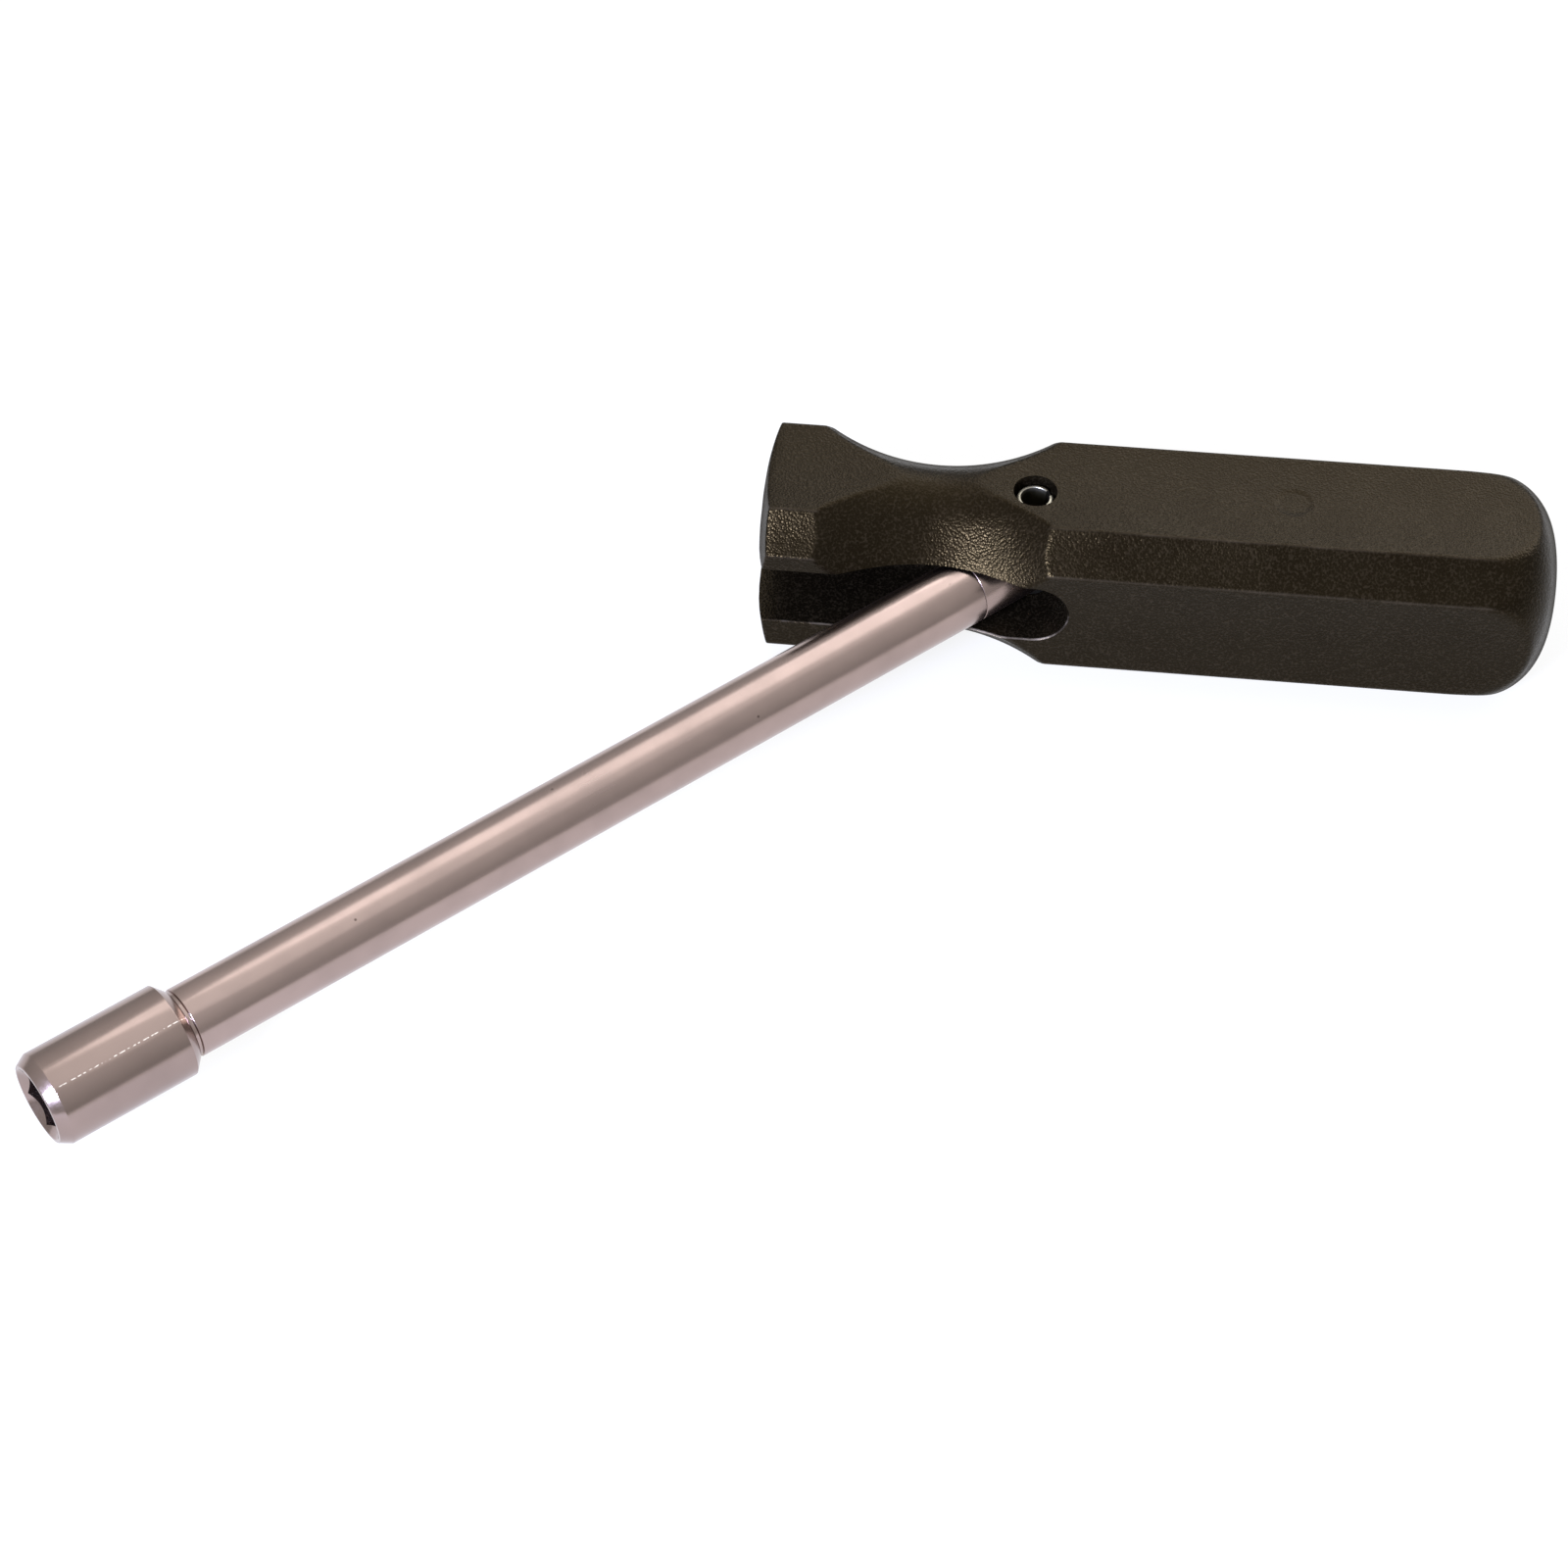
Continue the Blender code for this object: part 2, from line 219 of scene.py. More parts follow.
# Light
KEY_PLACE = Vector((-0.456, -0.128, 0.258))
KEY_COLOUR = (0.86, 0.99, 1.50)
KEY_SIZE = (0.11, 0.11)
KEY_POWER = 4.6
TOP_PLACE = Vector((0.414, 0.446, 0.90))
TOP_SIZE = (0.66, 0.78)
TOP_POWER = 2.3
FILL_PLACE = Vector((-0.001, -0.089, 0.90))
FILL_SIZE = (0.78, 0.57)
FILL_POWER = 0.60
BACK_PLACE = Vector((1.239, 0.141, 0.90))
BACK_SIZE = (1.98, 0.80)
BACK_POWER = 21.3
LAMP_WHITE = (1.0, 1.0, 1.0)
LIGHT_TARGET = Vector((-0.034, 0.019, 0.021))
SKY_AT_HORIZON = 0.43
SKY_OVERHEAD = 0.90
WHITE = (1.0, 1.0, 1.0, 1.0)
FLOOR_COLOUR = (0.90, 0.90, 0.90, 1.0)
FLOOR_ROUGHNESS = 0.9
FLOOR_WHITENESS = 0.85
FLOOR_HALF_SIDE = 12.0

# Sizes that follow from the ones above
SHORT_FLAT = HALF_FLATS - GRIP_CORNER_LEG
CHAMFER_DISTANCE = (HALF_FLATS + SHORT_FLAT) / math.sqrt(2)
CORNER_RADIUS = math.hypot(HALF_FLATS, SHORT_FLAT)
CORNER_ANGLE = math.atan2(SHORT_FLAT, HALF_FLATS)
TURNED_RADIUS = CORNER_RADIUS + TURNING_MARGIN
WAIST_RADIUS = CORNER_RADIUS - WAIST_DEPTH
WAIST_HALF_ANGLE = math.acos(1 - (TURNED_RADIUS - WAIST_RADIUS) / WAIST_ARC_RADIUS)
WAIST_HALF_LENGTH = WAIST_ARC_RADIUS * math.sin(WAIST_HALF_ANGLE)
FLANGE_FRONT = WAIST_CENTRE + WAIST_HALF_LENGTH + FLANGE_LENGTH
FLANGE_BACK = -WAIST_CENTRE - WAIST_HALF_LENGTH - FLANGE_EDGE
SLOT_HALF_WIDTH = BAR_RADIUS + SLOT_CLEARANCE
HANDLE_PLACE = Matrix.Translation((PIVOT.x, PIVOT.y, HALF_FLATS)) @ Matrix.Rotation(-FOLD_ANGLE, 4, 'Z')
SHANK_PLACE = Matrix.Translation(PIVOT)
HEX_CORNER = HEX_FLATS / math.sqrt(3)
WIDE_FACE = (HALF_FLATS, SHORT_FLAT)
NARROW_FACE = (CHAMFER_DISTANCE, GRIP_CORNER_LEG / math.sqrt(2))
FACES = [(math.pi / 4 * k, *(NARROW_FACE if k % 2 else WIDE_FACE)) for k in range(8)]


# Meshes

def make_object(name, shape, place):
    """An object with outward faces, made from a shape in its own axes and put in its place."""
    bmesh.ops.recalc_face_normals(shape, faces=shape.faces)
    mesh = bpy.data.meshes.new(name)
    shape.to_mesh(mesh)
    shape.free()
    thing = bpy.data.objects.new(name, mesh)
    thing.matrix_world = place
    bpy.context.collection.objects.link(thing)
    return thing


def combine(target, steps):
    """Applies a list of (shape, operation) to an object as exact Booleans."""
    helpers = []
    for shape, operation in steps:
        helper = make_object(target.name + "_helper", shape, target.matrix_world)
        step = target.modifiers.new(operation, 'BOOLEAN')
        step.operation = operation
        step.solver = 'EXACT'
        step.object = helper
        helpers.append(helper)
    depsgraph = bpy.context.evaluated_depsgraph_get()
    result = bpy.data.meshes.new_from_object(target.evaluated_get(depsgraph))
    target.modifiers.clear()
    target.data = result
    result.name = target.name
    for helper in helpers:
        bpy.data.objects.remove(helper, do_unlink=True)


def shade(thing, sharp_degrees):
    """Smooth shading with sharp edges above an angle."""
    thing.data.shade_smooth()
    thing.data.set_sharp_from_angle(angle=math.radians(sharp_degrees))


def loft(rings, closed_ends=True):
    """Joins rings of equal count, or single points, into one surface; ends that are rings get a cap."""
    shape = bmesh.new()
    made = [[shape.verts.new(point) for point in ring] for ring in rings]
    count = max(len(ring) for ring in made)
    for first, second in zip(made, made[1:]):
        for step in range(count):
            after = (step + 1) % count
            corners = [first[step % len(first)], first[after % len(first)],
                       second[after % len(second)], second[step % len(second)]]
            shape.faces.new(list(dict.fromkeys(corners)))
    if closed_ends:
        for ring in (made[0], made[-1]):
            if len(ring) > 1:
                shape.faces.new(ring)
    return shape


def circle(radius, segments):
    """Points round a circle, with a flat across each axis."""
    turns = [2 * math.pi * (step + 0.5) / segments for step in range(segments)]
    return [(radius * math.cos(a), radius * math.sin(a)) for a in turns]


def turned(profile, segments=ROUND_SEGMENTS, centre=(0.0, 0.0)):
    """Turns a profile of (x, radius) about an axis along X."""
    rings = []
    for x, radius in profile:
        points = circle(radius, segments) if radius > 0.0 else [(0.0, 0.0)]
        rings.append([(x, centre[0] + y, centre[1] + z) for y, z in points])
    return loft(rings)


def upright(profile, segments=BORE_SEGMENTS):
    """Turns a profile of (z, radius) about the Z axis."""
    return loft([[(x, y, z) for x, y in circle(radius, segments)] for z, radius in profile])


def rounded(profile, radii, steps=4):
    """Rounds corners of an (x, radius) profile; radii gives each corner's radius, zero keeps it sharp."""
    points = []
    for index, (corner, radius) in enumerate(zip(profile, radii)):
        if radius == 0.0:
            points.append(corner)
            continue
        corner = Vector(corner)
        before = (Vector(profile[index - 1]) - corner).normalized()
        after = (Vector(profile[index + 1]) - corner).normalized()
        half = before.angle(after) / 2
        middle = corner + (before + after).normalized() * (radius / math.sin(half))
        start = corner + before * (radius / math.tan(half)) - middle
        end = corner + after * (radius / math.tan(half)) - middle
        for step in range(steps + 1):
            share = step / steps
            arm = start.lerp(end, share).normalized() * radius
            points.append(tuple(middle + arm))
    return points


# Handle

def turned_radius(x, angles):
    """Radius of the handle's turned form at a distance along it: hollow and squarer in the waist."""
    offset = np.minimum(np.abs(x + WAIST_CENTRE), WAIST_HALF_LENGTH)
    rise = WAIST_ARC_RADIUS - np.sqrt(WAIST_ARC_RADIUS ** 2 - offset ** 2)
    lobe = WAIST_SQUARENESS * (1 - (rise / (TURNED_RADIUS - WAIST_RADIUS)) ** 2)
    return WAIST_RADIUS + rise + lobe * (1 + np.cos(4 * angles)) / 2


def flat_faces(angles):
    """One over the distance from the axis to each of the grip's faces, which sink in the middle."""
    rows = []
    for face, distance, half_width in FACES:
        forward = np.maximum(np.cos(angles - face), LEAST_FORWARD)
        across = np.clip(distance * np.sin(angles - face) / forward / half_width, -1, 1)
        rows.append(forward / (distance - FACE_SINK * half_width * (1 - across ** 2)))
    return np.array(rows)


def soft_least(rows, power):
    """The least distance of several, each given as one over it, with softened edges where two are equal."""
    nearest = rows.max(axis=0)
    return 1 / (nearest * np.sum((rows / nearest) ** power, axis=0) ** (1 / power))


def section(angles, turned_form, power=WAIST_EDGE_POWER):
    """The handle's radius where its flat faces meet its turned form, with softened edges."""
    grip = soft_least(flat_faces(angles), EDGE_POWER)
    return soft_least(np.array([1 / grip, 1 / turned_form]), power)


def section_angles():
    """Directions round the handle: even steps, with more of them beside each of the grip's corners."""
    corners = [quarter + side * CORNER_ANGLE for quarter in np.arange(4) * math.pi / 2 for side in (-1, 1)]
    near = [corner + side * step for corner in corners for step in SECTION_CORNER_STEPS for side in (-1, 1)]
    clear = max(SECTION_CORNER_STEPS) + SECTION_STEP / 3
    even = [a for a in np.arange(0, 2 * math.pi, SECTION_STEP)
            if min(abs((a - c + math.pi) % (2 * math.pi) - math.pi) for c in corners) > clear]
    return np.unique(np.round(np.array(near + even) % (2 * math.pi), 6))


def crown(radius):
    """Distance along the handle of its crowned front, at a radius."""
    return -FLANGE_FRONT - FLANGE_CROWN * (1 - (radius / CORNER_RADIUS) ** FLANGE_CROWN_POWER)


def handle_outside():
    """The handle without its slot: rings from the crowned front to the rounded butt."""
    angles = section_angles()
    full = np.full_like(angles, TURNED_RADIUS)
    flange = section(angles, full)
    rings = []

    def add_ring(x, radius):
        along = np.broadcast_to(x, angles.shape)
        across = PIN_OFFSET + radius * np.cos(angles)
        rings.append(np.stack([along, across, radius * np.sin(angles)], axis=1).tolist())

    rings.append([(float(crown(0.0)), PIN_OFFSET, 0.0)])
    inner = flange - FLANGE_EDGE
    for share in FRONT_RING_SHARES:
        add_ring(crown(inner * share), inner * share)
    for turn in np.linspace(0, math.pi / 2, FRONT_EDGE_RINGS):
        add_ring(crown(inner) + FLANGE_EDGE * (1 - math.cos(turn)), inner + FLANGE_EDGE * math.sin(turn))
    start = crown(inner) + FLANGE_EDGE
    for share in FLANGE_RING_SHARES:
        add_ring(start + (FLANGE_BACK - start) * share, flange)
    waist_end = -WAIST_CENTRE + WAIST_HALF_LENGTH + FLANGE_EDGE
    for x in np.linspace(FLANGE_BACK, waist_end, WAIST_RINGS):
        add_ring(x, section(angles, turned_radius(x, angles)))
    butt_start = BUTT_END - BUTT_ROUND_LENGTH
    for x in np.linspace(waist_end, butt_start, GRIP_RINGS)[1:-1]:
        add_ring(x, flange)
    for turn in np.linspace(BUTT_FIRST_RING, 1, BUTT_RINGS)[:-1] * math.pi / 2:
        along = math.sin(turn) ** (2 / BUTT_ROUND_POWER)
        radius = TURNED_RADIUS * math.cos(turn) ** (2 / BUTT_ROUND_POWER)
        power = BUTT_EDGE_POWER + (WAIST_EDGE_POWER - BUTT_EDGE_POWER) * math.exp(-along / BUTT_EDGE_FADE)
        form = np.full_like(angles, radius)
        add_ring(butt_start + BUTT_ROUND_LENGTH * along, section(angles, form, power))
    rings.append([(BUTT_END, PIN_OFFSET, 0.0)])
    return loft(rings)


def slot_face(x, height):
    """Where the handle's outside lies, across the handle, at a place on the slot's edge."""
    x = max(x, FLANGE_BACK)
    tilt = np.array([0.0])
    for _ in range(SLOT_FACE_TRIES):
        radius = section(math.pi - tilt, turned_radius(x, math.pi - tilt))
        tilt = np.arcsin(np.clip(height / radius, -1, 1))
    return PIN_OFFSET - float(radius[0] * math.cos(tilt[0]))


def slot_shape():
    """The slot as a cutter: straight sides, a round end, and a lip that follows the handle's outside."""
    front = -FLANGE_FRONT - FLANGE_CROWN - OVERRUN
    width = SLOT_HALF_WIDTH
    straight = np.linspace(front, SLOT_ROUND_CENTRE, SLOT_SIDE_POINTS)
    outline = [(x, -width, 0.0, -1.0) for x in straight]
    for turn in np.linspace(-math.pi / 2, math.pi / 2, SLOT_END_POINTS)[1:-1]:
        along = math.cos(turn)
        up = math.sin(turn)
        outline.append((SLOT_ROUND_CENTRE + width * along, width * up, along, up))
    outline += [(x, width, 0.0, 1.0) for x in straight[::-1]]
    faces = [slot_face(x, z + SLOT_RISE) for x, z, _, _ in outline]

    def ring(flare, depths):
        return [(x + flare * along, depth, z + flare * up + SLOT_RISE)
                for (x, z, along, up), depth in zip(outline, depths)]

    rings = [ring(0.0, [SLOT_CLEARANCE] * len(outline))]
    for turn in np.linspace(0, SLOT_LIP_SWEEP, SLOT_LIP_RINGS):
        depths = [face + SLOT_LIP * (1 - math.sin(turn)) for face in faces]
        rings.append(ring(SLOT_LIP * (1 - math.cos(turn)), depths))
    outside = PIN_OFFSET - HALF_FLATS - OVERRUN
    rings.append(ring(SLOT_LIP + SLOT_LIP_FLARE, [outside] * len(outline)))
    return loft(rings)


def wear_and_lip_glint(thing):
    """Stores wear for the finish, as nearness to the grip's long edges, and a painted highlight along the
    slot's lower lip.
    """
    points = np.zeros(len(thing.data.vertices) * 3)
    thing.data.vertices.foreach_get("co", points)
    x, across, up = points.reshape(-1, 3).T
    rows = np.sort(flat_faces(np.arctan2(up, across - PIN_OFFSET)), axis=0)
    distance = np.hypot(across - PIN_OFFSET, up)
    nearness = np.clip(1 - (1 - rows[-2] / rows[-1]) / WEAR_WIDTH, 0.0, 1.0)
    wear = np.where(distance * rows[-1] > WEAR_DEPTH, nearness, 0.0)
    beyond = np.hypot(np.maximum(x - SLOT_ROUND_CENTRE, 0.0), up - SLOT_RISE) - SLOT_HALF_WIDTH
    # Painted highlight: the slot's lower lip, the side that faces the light, is marked to be painted pale,
    # less so at the front
    on_lip = (across < PIN_OFFSET - WAIST_RADIUS / 2) & (beyond > SLOT_LIP / 50) & (beyond < SLOT_LIP / 2)
    lip = np.where(on_lip & (up < SLOT_RISE), np.where(x > -WAIST_CENTRE, 1.0, FRONT_LIP_GLINT), 0.0)
    for name, values in (("wear", wear), ("lip", lip)):
        layer = thing.data.attributes.new(name, 'FLOAT', 'POINT')
        layer.data.foreach_set("value", values)


def make_handle():
    """The moulded handle with its slot, trough, room for the tang's eye, and pin bore."""
    handle = make_object("handle_moulding", handle_outside(), HANDLE_PLACE)
    width = SLOT_HALF_WIDTH
    front = -FLANGE_FRONT - FLANGE_CROWN - OVERRUN
    trough = turned([(front, 0.0), (front, width), (0.0, width), (0.0, 0.0)], centre=(0.0, SLOT_RISE))
    half = BAR_RADIUS + SLOT_CLEARANCE / 2
    eye_room = upright([(SLOT_RISE - half, width), (SLOT_RISE + half, width)])
    top = HALF_FLATS
    bore = upright([(-top - OVERRUN, BORE_RADIUS + BORE_LIP + OVERRUN), (-top + BORE_LIP, BORE_RADIUS),
                    (top - BORE_LIP, BORE_RADIUS), (top + OVERRUN, BORE_RADIUS + BORE_LIP + OVERRUN)])
    combine(handle, [(slot_shape(), 'DIFFERENCE'), (trough, 'DIFFERENCE'),
                     (eye_room, 'DIFFERENCE'), (bore, 'DIFFERENCE')])
    wear_and_lip_glint(handle)
    shade(handle, HANDLE_SHARP_DEGREES)
    return handle


# Metal pieces

def make_pin():
    """The hollow spring pin: a split tube with tapered and rounded ends, its inside marked for painted
    shade.
    """
    half = HALF_FLATS - PIN_RECESS
    radius = PIN_RADIUS
    inner = radius - PIN_WALL
    end = [(0.0, PIN_END_TAPER + PIN_END_OUTER_ROUND[0], PIN_END_INNER_ROUND[0]),
           (PIN_END_ROUND_DEPTHS[0], PIN_END_TAPER + PIN_END_OUTER_ROUND[1], PIN_END_INNER_ROUND[1]),
           (PIN_END_ROUND_DEPTHS[1], PIN_END_TAPER, 0.0), (PIN_END_TAPER_LENGTH, 0.0, 0.0)]
    levels = [(-half + along, radius - narrow, inner + wide) for along, narrow, wide in end]
    levels += [(half - along, radius - narrow, inner + wide) for along, narrow, wide in reversed(end)]
    half_split = math.asin(PIN_SPLIT / 2 / inner)
    last_turn = PIN_SPLIT_ANGLE + 2 * math.pi - half_split
    turns = np.linspace(PIN_SPLIT_ANGLE + half_split, last_turn, BORE_SEGMENTS)
    rings = []
    for z, outside, inside in levels:
        ring = [(outside * math.cos(a), outside * math.sin(a), z) for a in turns]
        ring += [(inside * math.cos(a), inside * math.sin(a), z) for a in turns[::-1]]
        rings.append(ring)
    shape = loft(rings, closed_ends=False)
    shape.verts.ensure_lookup_table()
    count = 2 * BORE_SEGMENTS
    for base in (0, (len(levels) - 1) * count):
        for step in range(BORE_SEGMENTS - 1):
            corners = (step, step + 1, count - 2 - step, count - 1 - step)
            shape.faces.new([shape.verts[base + corner] for corner in corners])
    pin = make_object("spring_pin", shape, HANDLE_PLACE)
    shade(pin, STEEL_SHARP_DEGREES)
    # Painted shade: the pin's inner wall, deeper than its tapered ends, is marked to be painted dark
    bore_shade = pin.data.attributes.new("bore_shade", 'FLOAT', 'POINT')
    for point, mark in zip(pin.data.vertices, bore_shade.data):
        deep = abs(point.co.z) < half - PIN_END_TAPER_LENGTH / 2
        mark.value = float(deep and point.co.to_2d().length < radius - PIN_WALL / 2)
    return pin


def make_tang():
    """The eye piece on the inner end of the bar, round-ended and bored for the pin."""
    radius = BAR_RADIUS
    start = -TANG_LENGTH - TANG_SEAM
    spigot = radius * SPIGOT_SHARE
    profile = [(start - OVERRUN, 0.0), (start - OVERRUN, spigot), (start, spigot), (start, radius),
               (radius + OVERRUN, radius), (radius + OVERRUN, 0.0)]
    tang = make_object("tang_eye", turned(rounded(profile, [0, 0, 0, EDGE_ROUND, 0, 0])), SHANK_PLACE)
    wide = radius + OVERRUN
    far = start - 2 * OVERRUN
    outline = [(0.0, wide), (far, wide), (far, -wide), (0.0, -wide)]
    turns = np.linspace(-math.pi / 2, math.pi / 2, TANG_END_POINTS)
    outline += [(radius * math.cos(a), radius * math.sin(a)) for a in turns]
    round_end = loft([[(x, y, z) for x, y in outline] for z in (-wide, wide)])
    eye = upright([(-wide, EYE_RADIUS), (wide, EYE_RADIUS)])
    combine(tang, [(round_end, 'INTERSECT'), (eye, 'DIFFERENCE')])
    shade(tang, STEEL_SHARP_DEGREES)
    return tang


def make_bar():
    """The shank's round bar, with a turned neck groove behind the socket."""
    radius = BAR_RADIUS
    inner_end = -TANG_LENGTH - 2 * TANG_SEAM
    neck = SOCKET_BACK - SOCKET_TRIM + NECK_GROOVE_LENGTH
    low = radius - NECK_GROOVE_DEPTH
    hidden_end = SOCKET_BACK - 4 * OVERRUN
    profile = [(hidden_end, 0.0), (hidden_end, low), (neck, low),
               (neck, radius), (inner_end, radius), (inner_end, 0.0)]
    middle = [(x, radius) for x in np.linspace(neck, inner_end, BAR_RINGS)[1:-1]]
    points = rounded(profile, [0, 0, EDGE_ROUND, EDGE_ROUND, EDGE_ROUND, 0])
    split = max(index for index, point in enumerate(points) if point[0] < neck + 2 * EDGE_ROUND) + 1
    bar = make_object("shank_bar", turned(points[:split] + middle + points[split:]), SHANK_PLACE)
    shade(bar, STEEL_SHARP_DEGREES)
    return bar


def make_socket():
    """The hex socket head: a turned sleeve with rounded edges, a hex mouth and a conical lead-in."""
    face = SOCKET_FACE
    back = SOCKET_BACK - SOCKET_TRIM
    radius = SOCKET_RADIUS
    seat = BAR_RADIUS - NECK_GROOVE_DEPTH
    profile = [(face, 0.0), (face, radius - SOCKET_NOSE_STEP), (face + SOCKET_NOSE_LENGTH, radius),
               (back - SOCKET_SHOULDER_LENGTH, radius), (back, SOCKET_BACK_RADIUS),
               (back, seat), (back - OVERRUN, seat), (back - OVERRUN, 0.0)]
    fine = EDGE_ROUND
    points = rounded(profile, [0, 2 * fine, SOCKET_EDGE_ROUND * 2, SOCKET_EDGE_ROUND, fine / 2, 0, 0, 0])
    socket = make_object("socket_head", turned(points), SHANK_PLACE)
    turns = [math.pi / 3 * step for step in range(6)]
    hexagon = loft([[(x, HEX_CORNER * math.sin(a), HEX_CORNER * math.cos(a)) for a in turns]
                    for x in (face - OVERRUN, face + HEX_DEPTH)])
    mouth = HEX_CORNER + HEX_LEAD_IN
    depth = mouth - HEX_FLATS / 2
    lead_in = turned([(face - OVERRUN, 0.0), (face - OVERRUN, mouth + OVERRUN),
                      (face + depth, mouth - depth), (face + depth, 0.0)])
    combine(socket, [(hexagon, 'DIFFERENCE'), (lead_in, 'DIFFERENCE')])
    shade(socket, SOCKET_SHARP_DEGREES)
    return socket


# Finishes

def add_node(tree, kind, inputs=None, **settings):
    """Adds a shader node, sets its options, and fills or links its inputs."""
    node = tree.nodes.new(kind)
    for key, value in settings.items():
        setattr(node, key, value)
    for key, value in (inputs or {}).items():
        if isinstance(value, bpy.types.NodeSocket):
            tree.links.new(value, node.inputs[key])
        else:
            node.inputs[key].default_value = value
    return node


def noise(tree, place, scale, detail=2.0, roughness=0.5):
    """Noise at a number of features per metre."""
    inputs = {"Vector": place, "Scale": scale, "Detail": detail, "Roughness": roughness}
    return add_node(tree, "ShaderNodeTexNoise", inputs).outputs["Fac"]


def cells(tree, place, scale):
    """Distance to the nearest of scattered points, at a number of them per metre."""
    return add_node(tree, "ShaderNodeTexVoronoi", {"Vector": place, "Scale": scale}).outputs["Distance"]


def stretched(tree, place, scale):
    """Places scaled apart along each axis."""
    return add_node(tree, "ShaderNodeMapping", {"Vector": place, "Scale": scale}).outputs["Vector"]


def spread(tree, value, low, high, to_low, to_high):
    """Maps a value from one range to another, clamped."""
    inputs = {"Value": value, "From Min": low, "From Max": high, "To Min": to_low, "To Max": to_high}
    return add_node(tree, "ShaderNodeMapRange", inputs).outputs["Result"]


def mix_colour(tree, share, first, second):
    """Mixes two colours."""
    node = add_node(tree, "ShaderNodeMix", data_type='RGBA')
    for key, value in ((0, share), (6, first), (7, second)):
        if isinstance(value, bpy.types.NodeSocket):
            tree.links.new(value, node.inputs[key])
        else:
            node.inputs[key].default_value = (*value, 1.0) if key else value
    return node.outputs[2]


def maths(tree, operation, first, second):
    """One sum on two values."""
    return add_node(tree, "ShaderNodeMath", {0: first, 1: second}, operation=operation).outputs[0]


def new_finish(name):
    """A material, its tree, its shader, and places on the piece in metres."""
    material = bpy.data.materials.new(name)
    material.use_nodes = True
    tree = material.node_tree
    place = add_node(tree, "ShaderNodeTexCoord").outputs["Object"]
    return material, tree, tree.nodes["Principled BSDF"], place


def plastic():
    """Brownish black plastic with a fine grain, paler along worn edges, a painted highlight along the
    slot's lower lip, and duller at low angles.
    """
    material, tree, shader, place = new_finish("moulded_plastic")
    grain = maths(tree, 'ADD', cells(tree, place, GRIT_SCALE), noise(tree, place, GRAIN_SCALE, 2.0, 0.6))
    mottle = noise(tree, place, MOTTLE_SCALE, 3.0, 0.6)
    worn = add_node(tree, "ShaderNodeAttribute", attribute_name="wear").outputs["Fac"]
    base = mix_colour(tree, spread(tree, mottle, 0.3, 0.7, 0.0, 1.0), PLASTIC_DARK, PLASTIC_LIGHT)
    speck = mix_colour(tree, spread(tree, grain, 1.0, 1.4, *SPECK_SHARE), base, PLASTIC_SPECK)
    wear_share = maths(tree, 'MULTIPLY', worn, spread(tree, mottle, 0.35, 0.65, *WEAR_SHARE))
    worn_colour = mix_colour(tree, wear_share, speck, PLASTIC_WORN)
    # Painted highlight: pale colour mixed in along the slot's lower lip
    lip = add_node(tree, "ShaderNodeAttribute", attribute_name="lip").outputs["Fac"]
    lip_glint_share = maths(tree, 'MULTIPLY', lip, spread(tree, mottle, 0.45, 0.6, *LIP_GLINT_SHARE))
    tree.links.new(mix_colour(tree, lip_glint_share, worn_colour, PLASTIC_LIP_GLINT), shader.inputs["Base Color"])
    cloud = spread(tree, noise(tree, place, CLOUD_SCALE, 2.0, 0.6), 0.35, 0.65, *CLOUD_ROUGHNESS)
    rough = maths(tree, 'ADD', cloud, spread(tree, grain, 0.5, 1.2, *GRAIN_ROUGHNESS))
    facing = add_node(tree, "ShaderNodeLayerWeight", {"Blend": 0.5}).outputs["Facing"]
    dulled = maths(tree, 'ADD', rough, spread(tree, facing, *LOW_ANGLE, *LOW_ANGLE_DULLING))
    tree.links.new(dulled, shader.inputs["Roughness"])
    shader.inputs["IOR"].default_value = PLASTIC_IOR
    shader.inputs["Specular IOR Level"].default_value = PLASTIC_SPECULAR_LEVEL
    shader.inputs["Specular Tint"].default_value = PLASTIC_TINT
    mark_place = tuple(HANDLE_PLACE @ Vector((MARK_ALONG, PIN_OFFSET, HALF_FLATS)))
    away = add_node(tree, "ShaderNodeVectorMath", {0: place, 1: mark_place}, operation='DISTANCE')
    mark = spread(tree, away.outputs["Value"], MARK_RADIUS - MARK_EDGE, MARK_RADIUS, 0.0, MARK_HEIGHT)
    relief = maths(tree, 'ADD', grain, mark)
    bump = add_node(tree, "ShaderNodeBump",
                    {"Height": relief, "Strength": GRAIN_STRENGTH, "Distance": GRAIN_HEIGHT})
    tree.links.new(bump.outputs["Normal"], shader.inputs["Normal"])
    return material


def scratch_line(tree, place):
    """A dotted scratch along the upper front of the socket, as a share from none to full."""
    spot = add_node(tree, "ShaderNodeVectorMath", {0: place, 1: tuple(PIVOT)}, operation='SUBTRACT')
    split = add_node(tree, "ShaderNodeSeparateXYZ", {0: spot.outputs[0]})
    front = maths(tree, 'MULTIPLY', split.outputs["Y"], -1.0)
    turn = maths(tree, 'SUBTRACT', maths(tree, 'ARCTAN2', split.outputs["Z"], front), SCRATCH_TURN)
    away = add_node(tree, "ShaderNodeMath", {0: turn}, operation='ABSOLUTE').outputs[0]
    near = spread(tree, away, SCRATCH_WIDTH / 2, SCRATCH_WIDTH, 1.0, 0.0)
    dotting = spread(tree, noise(tree, place, SCRATCH_DOT_SCALE, 0.0), 0.46, 0.64, 0.0, 1.0)
    return maths(tree, 'MULTIPLY', near, dotting)


